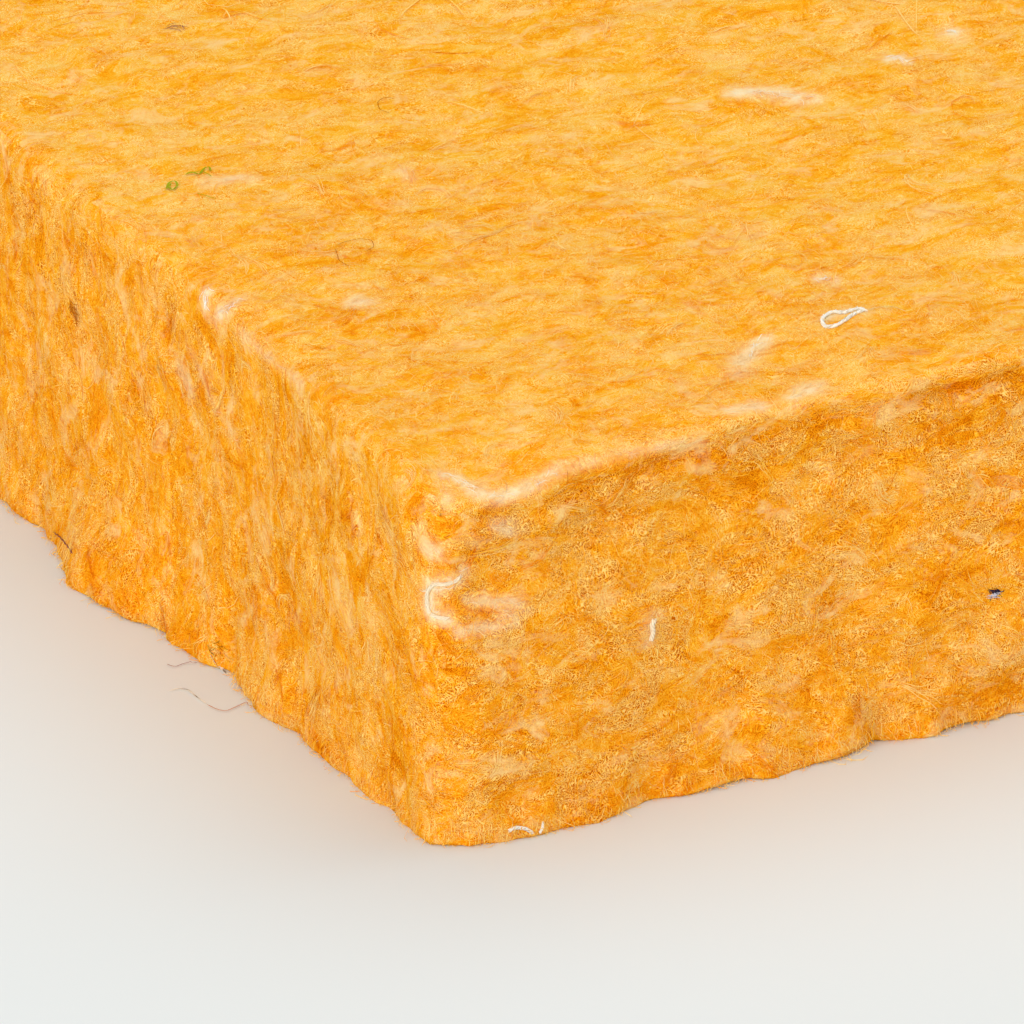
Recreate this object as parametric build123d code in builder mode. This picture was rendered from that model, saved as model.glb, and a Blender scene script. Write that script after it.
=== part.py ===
from build123d import *
import os
from math import sin

# A flat insulation batt of bonded recycled textile fibre, lying on its large face.
# It is one piece. The origin is the middle of the underside, with X along the length,
# Y across the width and Z up through the thickness. Sizes are in millimetres.

# Outside size
length = 1200.0
width = 600.0
thickness = 100.0

# Soft edges of the felted block
top_roll_radius = 10.0
base_roll_radius = 4.0
corner_radius = 14.0

# The saw wanders as it cuts: it swells inwards from the nominal side and comes back to it
cut_wander = 3.0
wave_length = 170.0
least_swell = 0.2

# Slitting drags at the long sides: the top skin overhangs them as a low lip, and the
# hollow under it fades out towards the middle of the thickness
skin_depth = 13.0
hollow_depth = 2.0
hollow_height = 6.0
hollow_fade = 26.0
slit_overrun = 5.0


def cut_side(start, end, phase):
    """One wandering cut, from corner to corner: pairs of arcs that swell inwards by turns."""
    along = (end - start).normalized()
    inward = Vector(-along.Y, along.X)
    run = (end - start).length
    turns = 2 * max(1, round(run / wave_length))
    here = start
    for turn in range(1, turns + 1):
        share = (1 + least_swell + (1 - least_swell) * sin(turn + phase)) / 2
        swell = cut_wander * share * (turn % 2)
        there = start + along * (run * turn / turns) + inward * swell
        half_way = (here + there) / 2
        TangentArc(here, half_way, tangent=along)
        TangentArc(there, half_way, tangent=-along)
        here = there


# Where each cut starts, anticlockwise from the near left corner, and where it ends
corners = [
    Vector(-length / 2, -width / 2),
    Vector(length / 2, -width / 2),
    Vector(length / 2, width / 2),
    Vector(-length / 2, width / 2),
]
cuts = []
for index, corner in enumerate(corners):
    following = corners[(index + 1) % len(corners)]
    along = (following - corner).normalized()
    cuts.append((corner + along * corner_radius, following - along * corner_radius))

with BuildPart() as fibre_batt:
    # The block, with its rounded corners and wandering cuts
    with BuildSketch():
        with BuildLine():
            for index, (start, end) in enumerate(cuts):
                cut_side(start, end, index)
                RadiusArc(end, cuts[(index + 1) % len(cuts)][0], -corner_radius)
        make_face()
    extrude(amount=thickness)

    # The rolled edges of the top and of the underside
    fillet(fibre_batt.faces().sort_by(Axis.Z)[-1].edges(), radius=top_roll_radius)
    fillet(fibre_batt.faces().sort_by(Axis.Z)[0].edges(), radius=base_roll_radius)

    # The hollow along each long side, which is every other cut, run out past both corners
    for index in range(0, len(cuts), 2):
        start, end = cuts[index]
        along = (end - start).normalized()
        overrun = along * (corner_radius + slit_overrun)
        with BuildLine():
            Line(start - overrun, start)
            cut_side(start, end, index)
            Line(end, end + overrun)
        with BuildSketch(Plane(start - overrun, x_dir=Vector(0, 0, 1), z_dir=along)):
            with BuildLine():
                lip = (thickness - skin_depth, 0)
                deepest = (thickness - skin_depth - hollow_height, -hollow_depth)
                foot = (thickness - skin_depth - hollow_height - hollow_fade, 0)
                TangentArc(deepest, lip, tangent=(1, 0))
                TangentArc(deepest, foot, tangent=(-1, 0))
                Polyline(lip, (lip[0], slit_overrun), (foot[0], slit_overrun), foot)
            make_face()
        sweep(mode=Mode.SUBTRACT)

fibre_batt.part.label = "fibre_batt"

os.makedirs("parts", exist_ok=True)
export_step(fibre_batt.part, "parts/fibre_batt.step")
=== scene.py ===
"""The looks of a flat insulation batt of bonded, dyed textile fibre, seen at one corner."""

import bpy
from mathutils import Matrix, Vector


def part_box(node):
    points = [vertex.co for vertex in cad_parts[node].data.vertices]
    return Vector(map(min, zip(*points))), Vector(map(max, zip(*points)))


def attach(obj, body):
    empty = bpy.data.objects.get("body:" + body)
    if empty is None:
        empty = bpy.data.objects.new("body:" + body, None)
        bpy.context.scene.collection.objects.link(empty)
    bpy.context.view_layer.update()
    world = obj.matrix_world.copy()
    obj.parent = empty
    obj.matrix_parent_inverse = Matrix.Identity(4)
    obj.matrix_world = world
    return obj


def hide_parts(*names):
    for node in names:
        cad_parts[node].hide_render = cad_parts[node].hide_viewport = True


bl_info = {
    "name": "Textile insulation batt",
    "version": (1, 0, 0),
    "blender": (4, 5, 0),
    "location": "View3D > Sidebar > Batt",
    "description": "Felts the slab, lays its fleece and scraps of yarn, and lights it on a pale floor",
    "category": "Object",
}

from math import cos, pi, radians, sin

import bmesh
import bpy
import numpy as np
from bpy.props import FloatProperty, FloatVectorProperty, IntProperty, PointerProperty
from mathutils import Vector, noise
from mathutils.bvhtree import BVHTree

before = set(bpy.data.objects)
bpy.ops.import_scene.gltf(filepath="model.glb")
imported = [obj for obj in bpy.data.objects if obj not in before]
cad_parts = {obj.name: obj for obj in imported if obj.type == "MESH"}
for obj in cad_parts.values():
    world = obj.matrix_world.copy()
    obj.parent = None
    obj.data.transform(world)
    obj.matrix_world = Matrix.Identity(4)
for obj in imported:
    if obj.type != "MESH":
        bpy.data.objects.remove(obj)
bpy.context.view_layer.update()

SLAB = "fibre_batt"
LOW, HIGH = (np.array(corner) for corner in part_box(SLAB))
NEAR_CORNER = LOW

# How far from an edge the surface starts to turn, and how near the floor a fibre may lie
EDGE_TURN = 0.012
FLOOR_CLEARANCE = 0.0004

# The view is square. The near corner of the underside shows at this pixel, from its top left
VIEW_SIZE = 1024
CORNER_PIXEL = (443, 857)


# Settings


class SlabSettings(bpy.types.PropertyGroup):
    """Sizes of the felted slab's mesh and relief"""

    near_cell: FloatProperty(
        name="Near cell",
        description="Size of the mesh cells at the near corner",
        default=0.0031,
        unit="LENGTH",
    )
    far_cell: FloatProperty(
        name="Far cell",
        description="Size of the mesh cells away from the near corner",
        default=0.016,
        unit="LENGTH",
    )
    edge_cell: FloatProperty(
        name="Edge cell",
        description="Size of the mesh cells at the edges",
        default=0.0012,
        unit="LENGTH",
    )
    near_length: FloatProperty(
        name="Near length",
        description="How far the small cells reach along the batt",
        default=0.26,
        unit="LENGTH",
    )
    near_width: FloatProperty(
        name="Near width",
        description="How far the small cells reach across the batt",
        default=0.28,
        unit="LENGTH",
    )
    clump_height: FloatProperty(
        name="Clump height",
        description="How far the clumps of fibre stand out",
        default=0.0010,
        unit="LENGTH",
    )
    lip_crest: FloatProperty(
        name="Lip crest",
        description="How far the skin's edge stands out over the long sides",
        default=0.0044,
        unit="LENGTH",
    )
    corner_crest: FloatProperty(
        name="Corner crest",
        description="How far the upright corners stand out",
        default=0.0010,
        unit="LENGTH",
    )
    lip_droop: FloatProperty(
        name="Lip droop",
        description="How far the skin's edge sags near the corner",
        default=0.0055,
        unit="LENGTH",
    )
    hollow_depth: FloatProperty(
        name="Hollow depth",
        description="How much deeper the hollow under the skin's edge is felted in",
        default=0.0020,
        unit="LENGTH",
    )
    base_swell: FloatProperty(
        name="Base swell",
        description="How far the foot of the cut sides wanders in and out",
        default=0.0016,
        unit="LENGTH",
    )


class FleeceSettings(bpy.types.PropertyGroup):
    """Sizes, number and dyes of the loose surface fibres, and the painted shade between the hairs"""

    radius: FloatProperty(
        name="Fibre radius",
        description="Radius of a surface fibre",
        default=0.000068,
        unit="LENGTH",
    )
    step: FloatProperty(
        name="Fibre step",
        description="Length of each straight run of a surface fibre at the near corner",
        default=0.00115,
        unit="LENGTH",
    )
    near_count: IntProperty(
        name="Near fibres",
        description="Number of fibres in each piece of fleece at the near corner",
        default=7000,
    )
    far_count: IntProperty(
        name="Far fibres",
        description="Number of wisps over the rest of the batt",
        default=3600,
    )
    lock_count: IntProperty(
        name="Locks",
        description="Number of drawn locks at the near corner",
        default=230,
    )
    lock_fibres: IntProperty(
        name="Fibres in a lock",
        description="Number of parallel fibres in a lock",
        default=7,
    )
    lock_length: FloatProperty(
        name="Lock length",
        description="Length of a lock",
        default=0.012,
        unit="LENGTH",
    )
    lock_width: FloatProperty(
        name="Lock width",
        description="Width of a lock",
        default=0.0009,
        unit="LENGTH",
    )
    foot_count: IntProperty(
        name="Foot fibres",
        description="Number of fibres that stand out at the foot",
        default=3800,
    )
    # Painted shade: the colour that stands for the shadow deep between the hairs
    gap: FloatVectorProperty(
        name="Gap",
        description="Colour deep between the hairs",
        subtype="COLOR",
        default=(0.52, 0.095, 0.0008),
    )
    rust: FloatVectorProperty(
        name="Rust",
        description="Dye in the deepest clumps",
        subtype="COLOR",
        default=(0.78, 0.190, 0.0015),
    )
    deep: FloatVectorProperty(
        name="Deep orange",
        description="Dye where it took best",
        subtype="COLOR",
        default=(0.95, 0.300, 0.003),
    )
    orange: FloatVectorProperty(
        name="Orange",
        description="Main dye",
        subtype="COLOR",
        default=(0.99, 0.410, 0.005),
    )
    apricot: FloatVectorProperty(
        name="Apricot",
        description="Dye where it took less",
        subtype="COLOR",
        default=(0.99, 0.530, 0.036),
    )
    cream: FloatVectorProperty(
        name="Cream",
        description="Fibre that took little dye",
        subtype="COLOR",
        default=(0.99, 0.680, 0.210),
    )
    lint: FloatVectorProperty(
        name="Lint",
        description="Undyed lint carded in with the rest",
        subtype="COLOR",
        default=(0.99, 0.660, 0.260),
    )
    undyed: FloatVectorProperty(
        name="Undyed",
        description="Tufts of lint that took no dye",
        subtype="COLOR",
        default=(0.99, 0.810, 0.500),
    )


class StageSettings(bpy.types.PropertyGroup):
    """Camera, lamps and floor"""

    view_turn: FloatProperty(
        name="View turn",
        description="Turn of the view about the upright, 0 looking along the batt's width",
        default=radians(-28.6),
        subtype="ANGLE",
    )
    view_height: FloatProperty(
        name="View height",
        description="Angle at which the camera looks down",
        default=radians(26.0),
        subtype="ANGLE",
    )
    view_field: FloatProperty(
        name="Field",
        description="Width of the field at the near corner",
        default=0.251,
        unit="LENGTH",
    )
    view_distance: FloatProperty(
        name="Distance",
        description="Distance of the camera, long enough for a flat perspective",
        default=9.0,
        unit="LENGTH",
    )
    dome_strength: FloatProperty(
        name="Dome strength",
        description="Light from all round",
        default=0.58,
    )
    top_lamp: FloatProperty(
        name="Top lamp",
        description="Strength of the soft lamp above",
        default=0.88,
    )
    front_lamp: FloatProperty(
        name="Front lamp",
        description="Strength of the soft lamp in front",
        default=1.96,
    )
    floor_colour: FloatVectorProperty(
        name="Floor",
        description="Colour of the floor",
        subtype="COLOR",
        default=(0.780, 0.820, 0.822),
    )


# Shared helpers


def finish_mesh(name, bm, material, smooth=True):
    """Turns a bmesh into an object of the batt that rides on its body."""
    mesh = bpy.data.meshes.new(name)
    bm.to_mesh(mesh)
    bm.free()
    return finish_piece(name, mesh, material, smooth)


def finish_piece(name, mesh, material, smooth=True):
    """Turns a mesh into an object of the batt that rides on its body."""
    mesh.materials.append(material)
    mesh.polygons.foreach_set("use_smooth", np.full(len(mesh.polygons), smooth))
    piece = bpy.data.objects.new(name, mesh)
    bpy.context.scene.collection.objects.link(piece)
    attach(piece, "root")
    return piece


def smoothstep(value, low, high):
    """0 below low, 1 above high, and an even slope between that starts and ends flat."""
    share = np.clip((value - low) / (high - low), 0, 1)
    return share * share * (3 - 2 * share)


def hump(value, middle, reach):
    """1 at the middle, fading to almost 0 at twice the reach."""
    return np.exp(-(((value - middle) / reach) ** 2))


def drifting(places, grain, octaves=2, shift=0.0):
    """Smooth noise from about -1 to 1 at each place. Grain is the size of its lumps along X, Y and Z."""
    scaled = places / np.array(grain) + shift
    return np.array([noise.fractal(Vector(place), 1.0, 2.0, octaves) for place in scaled])


# Slab


def cell_borders(low, high, near_reach, settings):
    """Cell borders from low to high: finest at both edges, small near the low end, large between."""
    growth = 0.07
    edge_growth = 0.12
    borders = [low]
    while borders[-1] < high:
        past_near = max(0.0, borders[-1] - low - near_reach)
        to_edge = min(borders[-1] - low, max(0.0, high - borders[-1]))
        step = min(
            settings.far_cell,
            settings.near_cell + growth * past_near,
            settings.edge_cell + edge_growth * to_edge,
        )
        borders.append(borders[-1] + step)
    borders = np.array(borders)
    return low + (borders - low) * (high - low) / (borders[-1] - low)


def graded_box(borders):
    """A closed box of cells with the given borders along X, Y and Z."""
    bm = bmesh.new()
    bmesh.ops.create_cube(bm, size=1.0)
    for axis, lines in enumerate(borders):
        edges = [
            edge
            for edge in bm.edges
            if abs(edge.verts[0].co[axis] - edge.verts[1].co[axis]) > 0.5
        ]
        bmesh.ops.subdivide_edges(bm, edges=edges, cuts=len(lines) - 2)
    for vert in bm.verts:
        for axis, lines in enumerate(borders):
            vert.co[axis] = lines[round((vert.co[axis] + 0.5) * (len(lines) - 1))]
    return bm


def soft_normals(places, rounding=EDGE_TURN):
    """Outward directions that turn smoothly round the slab's edges."""
    inner = np.clip(places, LOW + rounding, HIGH - rounding)
    outward = places - inner
    return outward / np.linalg.norm(outward, axis=1, keepdims=True)


def felt_relief(places, normals, clump_height):
    """How far each place of the slab's surface moves, as vectors."""
    on_side = normals[:, 1] ** 2
    on_end = normals[:, 0] ** 2
    swell = drifting(places, (0.09, 0.09, 0.07), 2)
    clump = drifting(places, (0.017, 0.017, 0.014), 3, 7.3)
    tuft = drifting(places, (0.007, 0.007, 0.007), 2, 3.1)
    dragged = drifting(places, (0.02, 0.011, 0.026), 3, 11.7)
    layered = drifting(places, (0.05, 0.02, 0.011), 2, 5.9)
    out = 0.0008 * swell
    out += clump_height * (0.8 + 0.4 * (on_side + on_end)) * clump
    out += 0.30 * clump_height * tuft
    out += 0.0006 * on_end * dragged
    out += 0.0007 * on_side * layered
    return normals * out[:, None]


# How far the foot of the long side swells out at each distance from the near corner, in metres
SIDE_FOOT = (
    (0.000, -0.0005), (0.020, 0.0004), (0.027, 0.0020), (0.034, 0.0008), (0.042, 0.0022),
    (0.048, 0.0016), (0.058, -0.0008), (0.068, 0.0010), (0.076, 0.0028), (0.082, 0.0016),
    (0.090, 0.0032), (0.104, 0.0014), (0.114, 0.0030), (0.122, -0.0018), (0.135, 0.0016),
    (0.148, 0.0000), (0.165, -0.0010), (0.190, 0.0000),
)
# The same for the foot of the end
END_FOOT = (
    (0.000, -0.0008), (0.013, 0.0008), (0.030, -0.0010), (0.040, 0.0004), (0.060, 0.0014),
    (0.068, 0.0024), (0.077, 0.0020), (0.090, 0.0052), (0.106, 0.0034), (0.114, -0.0002),
    (0.122, 0.0042), (0.133, 0.0052), (0.142, 0.0044), (0.152, 0.0076), (0.160, 0.0088),
    (0.170, 0.0090), (0.179, 0.0096), (0.188, 0.0060), (0.198, 0.0030), (0.207, 0.0004),
    (0.217, 0.0022), (0.226, 0.0022), (0.240, 0.0000),
)
# The share of its whole droop by which the skin's edge sags at each distance
LIP_DROOP = (
    (0.000, 0.20), (0.011, 0.85), (0.027, 1.00), (0.037, 0.40), (0.054, 0.42),
    (0.070, 0.00), (0.090, -0.10), (0.120, 0.00),
)


def along_table(table, distance):
    """The value at each distance, between the pairs of a table."""
    marks, values = zip(*table)
    return np.interp(distance, marks, values)


# How far in from its faces the crest of an edge lies, and how far it reaches
CREST_INSET = 0.0041
SIDE_CREST_REACH = 0.0032
END_CREST_REACH = 0.0036
CORNER_CREST_INSET = 0.0058
CORNER_CREST_REACH = 0.0065

# How deep below the top the crevice and the hollow lie, and how far each reaches up and down
CREVICE_DROP = 0.0080
CREVICE_REACH = 0.0026
HOLLOW_DROP = 0.015
HOLLOW_REACH = 0.010

# How far in the sag reaches, the rolled edge of the underside, how high the foot is taken to
# reach, and how far the near corner leans out
SAG_REACH = 0.017
BASE_ROLL = 0.004
FOOT_REACH = 0.016
CORNER_LEAN = 0.0030


def crevice_share(places):
    """How open the crevice under the skin's edge is along the long sides, from 0 to about 1.4."""
    along = drifting(places * (1.0, 1.0, 0.0), (0.030, 0.030, 1.0), 2, 8.8)
    return np.clip(0.75 + 0.8 * along, 0.1, 1.4)


def shape_edges(places, settings):
    """Lets the skin's edge crest and sag over the long sides, and the foot of each cut wander."""
    centre = (LOW + HIGH) / 2
    side = np.where(places[:, 1] < centre[1], -1.0, 1.0)
    end = np.where(places[:, 0] < centre[0], -1.0, 1.0)
    to_side = np.minimum(places[:, 1] - LOW[1], HIGH[1] - places[:, 1])
    to_end = np.minimum(places[:, 0] - LOW[0], HIGH[0] - places[:, 0])
    under_top = HIGH[2] - places[:, 2]
    height = places[:, 2] - LOW[2]
    from_corner = places[:, 0] - NEAR_CORNER[0]
    from_side = places[:, 1] - NEAR_CORNER[1]
    near_side = side < 0
    near_end = end < 0
    wander = drifting(places * (1.0, 1.0, 0.0), (0.045, 0.045, 1.0), 2, 4.4)
    crinkle = drifting(places * (1.0, 1.0, 0.3), (0.014, 0.014, 0.014), 2, 9.2)
    moved = np.zeros_like(places)

    # The skin's edge stands out over the long sides as a crest, softer near the corners
    firm = smoothstep(to_end, 0.045, 0.075)
    crest = settings.lip_crest * (0.6 + 0.4 * firm) * (1 + 0.15 * wander + 0.15 * crinkle)
    crest *= hump(np.hypot(to_side, under_top), CREST_INSET, SIDE_CREST_REACH)
    moved[:, 1] += side * crest * 0.76
    moved[:, 2] += crest * 0.60

    # A crevice runs below it, over a wide shallow hollow
    deepest = hump(under_top, CREVICE_DROP, CREVICE_REACH)
    crevice = deepest + 0.3 * hump(under_top, HOLLOW_DROP, HOLLOW_REACH)
    crevice *= settings.hollow_depth * crevice_share(places)
    moved[:, 1] -= side * crevice * (1 - smoothstep(to_side, 0.006, 0.014))

    # A lower crest runs over the ends, and one up each corner
    edge = 0.6 * settings.lip_crest * (1 + 0.3 * wander + 0.2 * crinkle)
    edge *= hump(np.hypot(to_end, under_top), CREST_INSET, END_CREST_REACH)
    moved[:, 0] += end * edge * 0.66
    moved[:, 2] += edge * 0.66
    corner = settings.corner_crest * (1 + 0.4 * crinkle) * smoothstep(height, 0.004, 0.016)
    corner *= hump(np.hypot(to_end, to_side), CORNER_CREST_INSET, CORNER_CREST_REACH)
    moved[:, 0] += end * corner * 0.7
    moved[:, 1] += side * corner * 0.7

    # The skin's edge sags near the corner, and a little by turns along the rest
    sag = settings.lip_droop * np.where(near_side, along_table(LIP_DROOP, from_corner), 0)
    sag += 0.0009 * wander
    edge_share = hump(to_side, 0, SAG_REACH) * smoothstep(height, 0.045, 0.090)
    moved[:, 2] -= sag * edge_share

    # The foot of each cut rests on the floor out to its edge, and wanders in and out
    inset = BASE_ROLL - np.sqrt(BASE_ROLL**2 - np.clip(BASE_ROLL - height, 0, BASE_ROLL) ** 2)
    moved[:, 1] += side * 0.9 * inset * (1 - smoothstep(to_side, 0.008, 0.014))
    moved[:, 0] += end * 0.9 * inset * (1 - smoothstep(to_end, 0.008, 0.014))
    foot = hump(height, 0, FOOT_REACH)
    side_foot = np.where(near_side, along_table(SIDE_FOOT, from_corner), 0)
    end_foot = np.where(near_end, along_table(END_FOOT, from_side), 0)
    frayed = drifting(places * (1.0, 1.0, 0.5), (0.0055, 0.0055, 0.0055), 2, 1.6)
    ragged = settings.base_swell * (0.6 * wander + 0.5 * crinkle + 0.9 * frayed)
    moved[:, 1] += side * (side_foot + ragged) * foot * (1 - smoothstep(to_side, 0.006, 0.02))
    moved[:, 0] += end * (end_foot + ragged) * foot * (1 - smoothstep(to_end, 0.006, 0.02))

    # The near corner's upper half leans out over its foot
    lean = hump(np.hypot(to_end, 0.4 * to_side), 0, 0.03) * near_end * near_side
    moved[:, 0] -= CORNER_LEAN * lean * smoothstep(height, 0.015, 0.085)
    return places + moved


class BATT_OT_slab(bpy.types.Operator):
    """Felt the slab: a soft closed body with clumps, dragged tufts and a drooping lip"""

    bl_idname = "batt.slab"
    bl_label = "Felted slab"

    def execute(self, context):
        settings = context.scene.batt_slab
        reach = (settings.near_length, settings.near_width, HIGH[2] - LOW[2])
        borders = [
            cell_borders(LOW[axis], HIGH[axis], reach[axis], settings) for axis in range(3)
        ]
        bm = graded_box(borders)
        places = np.array([vert.co for vert in bm.verts])
        normals = soft_normals(places)
        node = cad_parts[SLAB].data
        solid = BVHTree.FromPolygons(
            [vert.co for vert in node.vertices], [face.vertices for face in node.polygons]
        )
        places = np.array([solid.find_nearest(Vector(place))[0] for place in places])
        relief = felt_relief(places, normals, settings.clump_height)
        places = shape_edges(places, settings) + relief
        places[:, 2] = np.maximum(places[:, 2], LOW[2])
        for vert, place in zip(bm.verts, places):
            vert.co = place
        slab = finish_mesh("batt_body", bm, felt_material(context))
        # Each vertex keeps its tone, painted shade included, and how dark the painted shade between its
        # hairs is
        store(slab.data, "tone", felt_tone_and_shade(places, normals))
        store(slab.data, "gap_shade_depth", felt_gap_shade_depth(normals))
        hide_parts(SLAB)
        return {"FINISHED"}


def felt_tone_and_shade(places, normals):
    """How light the felt is: lighter on the top skin, darker on the cut sides, with painted shade under
    the skin's edge and on the rounded upright corners.
    """
    on_top = np.clip(normals[:, 2], 0, 1) ** 2
    on_side = normals[:, 1] ** 2
    under_top = HIGH[2] - places[:, 2]
    # Painted shade: the crevice and the hollow under the skin's edge are darkened along the long sides
    shade = hump(under_top, CREVICE_DROP, CREVICE_REACH)
    shade += 0.2 * hump(under_top, HOLLOW_DROP, 0.9 * HOLLOW_REACH)
    shade *= smoothstep(on_side, 0.4, 0.9) * crevice_share(places)
    # Painted shade: the rounded upright corners are darkened
    on_corner = 4 * normals[:, 0] ** 2 * on_side
    broad = drifting(places, (0.05, 0.05, 0.05), 2, 6.1) * (1 - 0.6 * on_side)
    tone = 0.02 * broad + 0.05 * on_top - 0.05 * (1 - on_top) - 0.03 * on_side
    return tone - 0.26 * shade - 0.03 * on_corner - 0.025 * normals[:, 0] ** 2


def felt_gap_shade_depth(normals):
    """How dark the painted shade in the gaps between the hairs is: least in the top skin, most on the
    long sides.
    """
    return 0.50 + 0.16 * normals[:, 0] ** 2 + 0.32 * normals[:, 1] ** 2


def store(mesh, name, values):
    """Keeps a number for each vertex under a name that a material reads."""
    attribute = mesh.attributes.new(name, "FLOAT", "POINT")
    attribute.data.foreach_set("value", values.astype(np.float32))


# Fleece

# How thick a strand is for its width, and how fast its wiggles follow each other
STRAND_FLATNESS = 0.22
WIGGLE_TURN = 1.9

# How high a fibre rides at its ends and how far it arches up, and the share that flies up more
END_HEIGHT = 0.00008
MEAN_LIFT = 0.00022
FLYING_SHARE = 0.03
FLYING_LIFT = (0.0008, 0.0026)

# Points along a fine fibre and along a wisp, and how much longer and thicker a wisp is
FINE_STATIONS = 6
WISP_STATIONS = 5
WISP_LENGTH = 4
WISP_THICKNESS = 3

# Distances from the near corner between which each fine fleece thins out
FRONT_REACH = (0.16, 0.19)
BACK_REACH = (0.30, 0.34)
SIDE_REACH = (0.19, 0.24)
END_REACH = (0.24, 0.29)
WISPS_START = (0.19, 0.34)


def strand_template(stations, flatness):
    """A closed three-sided strand along Z, flat side up, its stations one apart, with pointed ends."""
    bm = bmesh.new()
    bmesh.ops.create_cone(
        bm, cap_ends=True, cap_tris=True, segments=3, radius1=1.0, radius2=1.0, depth=1.0
    )
    upright = [edge for edge in bm.edges if abs(edge.verts[0].co.z - edge.verts[1].co.z) > 0.5]
    if stations > 4:
        bmesh.ops.subdivide_edges(bm, edges=upright, cuts=stations - 4)
    for vert in bm.verts:
        on_axis = vert.co.xy.length < 0.5
        level = (vert.co.z + 0.5) * (stations - 3) + 1
        if on_axis:
            level = 0 if vert.co.z < 0 else stations - 1
        vert.co.y *= -flatness
        vert.co.z = level
    bmesh.ops.triangulate(bm, faces=bm.faces)
    bmesh.ops.recalc_face_normals(bm, faces=bm.faces)
    bm.verts.index_update()
    points = np.array([vert.co for vert in bm.verts])
    faces = np.array([[vert.index for vert in face.verts] for face in bm.faces])
    bm.free()
    return points, faces


def strand_mesh(name, paths, ups, radii, tones):
    """One mesh of many strands, each along its path, with a tone or a colour for each strand."""
    count, stations, _ = paths.shape
    points, faces = strand_template(stations, STRAND_FLATNESS)
    along = np.gradient(paths, axis=1)
    across = np.cross(along, ups)
    across /= np.linalg.norm(across, axis=2, keepdims=True) + 1e-12
    over = np.cross(across, along)
    over /= np.linalg.norm(over, axis=2, keepdims=True) + 1e-12
    level = np.rint(points[:, 2]).astype(int)
    width = radii[:, None, None]
    places = paths[:, level] + width * (
        points[None, :, 0, None] * across[:, level] + points[None, :, 1, None] * over[:, level]
    )
    starts = np.arange(count)[:, None, None] * len(points)
    corners = (faces[None] + starts).reshape(-1)
    mesh = bpy.data.meshes.new(name)
    mesh.vertices.add(count * len(points))
    mesh.vertices.foreach_set("co", places.astype(np.float32).reshape(-1))
    mesh.loops.add(len(corners))
    mesh.loops.foreach_set("vertex_index", corners.astype(np.int32))
    mesh.polygons.add(len(corners) // 3)
    mesh.polygons.foreach_set("loop_start", np.arange(0, len(corners), 3, dtype=np.int32))
    mesh.update(calc_edges=True)
    if tones.ndim == 1:
        store(mesh, "tone", np.repeat(tones, len(points)))
    else:
        dye = mesh.attributes.new("dye", "FLOAT_COLOR", "POINT")
        opaque = np.column_stack((tones, np.ones(len(tones))))
        colours = np.repeat(opaque, len(points), axis=0).astype(np.float32)
        dye.data.foreach_set("color", colours.reshape(-1))
    return mesh


class Surface:
    """The felted slab's surface, to scatter strands on and to hold them to."""

    def __init__(self):
        mesh = bpy.data.objects["batt_body"].data
        mesh.calc_loop_triangles()
        points = np.empty(len(mesh.vertices) * 3, np.float32)
        mesh.vertices.foreach_get("co", points)
        points = points.reshape(-1, 3).astype(float)
        corners = np.empty(len(mesh.loop_triangles) * 3, np.int32)
        mesh.loop_triangles.foreach_get("vertices", corners)
        self.corners = points[corners.reshape(-1, 3)]
        self.middles = self.corners.mean(axis=1)
        cross = np.cross(
            self.corners[:, 1] - self.corners[:, 0], self.corners[:, 2] - self.corners[:, 0]
        )
        self.areas = np.linalg.norm(cross, axis=1) / 2
        self.tree = BVHTree.FromPolygons(points.tolist(), corners.reshape(-1, 3).tolist())

    def scatter(self, rng, count, weight):
        """Random places on the surface, denser where the weight of the triangle is larger."""
        share = self.areas * weight
        chosen = rng.choice(len(share), count, p=share / share.sum())
        first, second = rng.random((2, count))
        folded = first + second > 1
        first = np.where(folded, 1 - first, first)
        second = np.where(folded, 1 - second, second)
        corners = self.corners[chosen]
        return (
            corners[:, 0]
            + first[:, None] * (corners[:, 1] - corners[:, 0])
            + second[:, None] * (corners[:, 2] - corners[:, 0])
        )

    def hold(self, places):
        """The nearest places on the surface."""
        return np.array([self.tree.find_nearest(place)[0] for place in places.tolist()])


def surface_frame(normals):
    """The directions from which headings turn: up the sides and along the top, and across that."""
    upright = np.abs(normals[:, 2:3]) < 0.7
    reference = np.where(upright, np.array((0.0, 0.0, 1.0)), np.array((1.0, 0.0, 0.0)))
    side = np.cross(normals, reference)
    side /= np.linalg.norm(side, axis=1, keepdims=True)
    return np.cross(side, normals), side


def grow_strands(surface, phase, roots, headings, steps, curls, wiggles, lifts, stations):
    """Paths that creep over the surface from their roots, arch up by their lift and come back."""
    place = roots
    normal = soft_normals(place)
    ahead, side = surface_frame(normal)
    heading = np.cos(headings)[:, None] * ahead + np.sin(headings)[:, None] * side
    paths, ups = [], []
    for station in range(stations):
        arch = sin(pi * station / (stations - 1))
        height = END_HEIGHT + lifts * arch
        risen = place + normal * height[:, None]
        risen[:, 2] = np.maximum(risen[:, 2], LOW[2] + FLOOR_CLEARANCE)
        paths.append(risen)
        ups.append(normal)
        place = surface.hold(place + heading * steps[:, None])
        normal = soft_normals(place)
        turn = curls + wiggles * np.sin(phase + WIGGLE_TURN * station)
        across = np.cross(normal, heading)
        heading = np.cos(turn)[:, None] * heading + np.sin(turn)[:, None] * across
        heading -= (heading * normal).sum(axis=1, keepdims=True) * normal
        heading /= np.linalg.norm(heading, axis=1, keepdims=True) + 1e-12
    return np.stack(paths, axis=1), np.stack(ups, axis=1)


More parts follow.
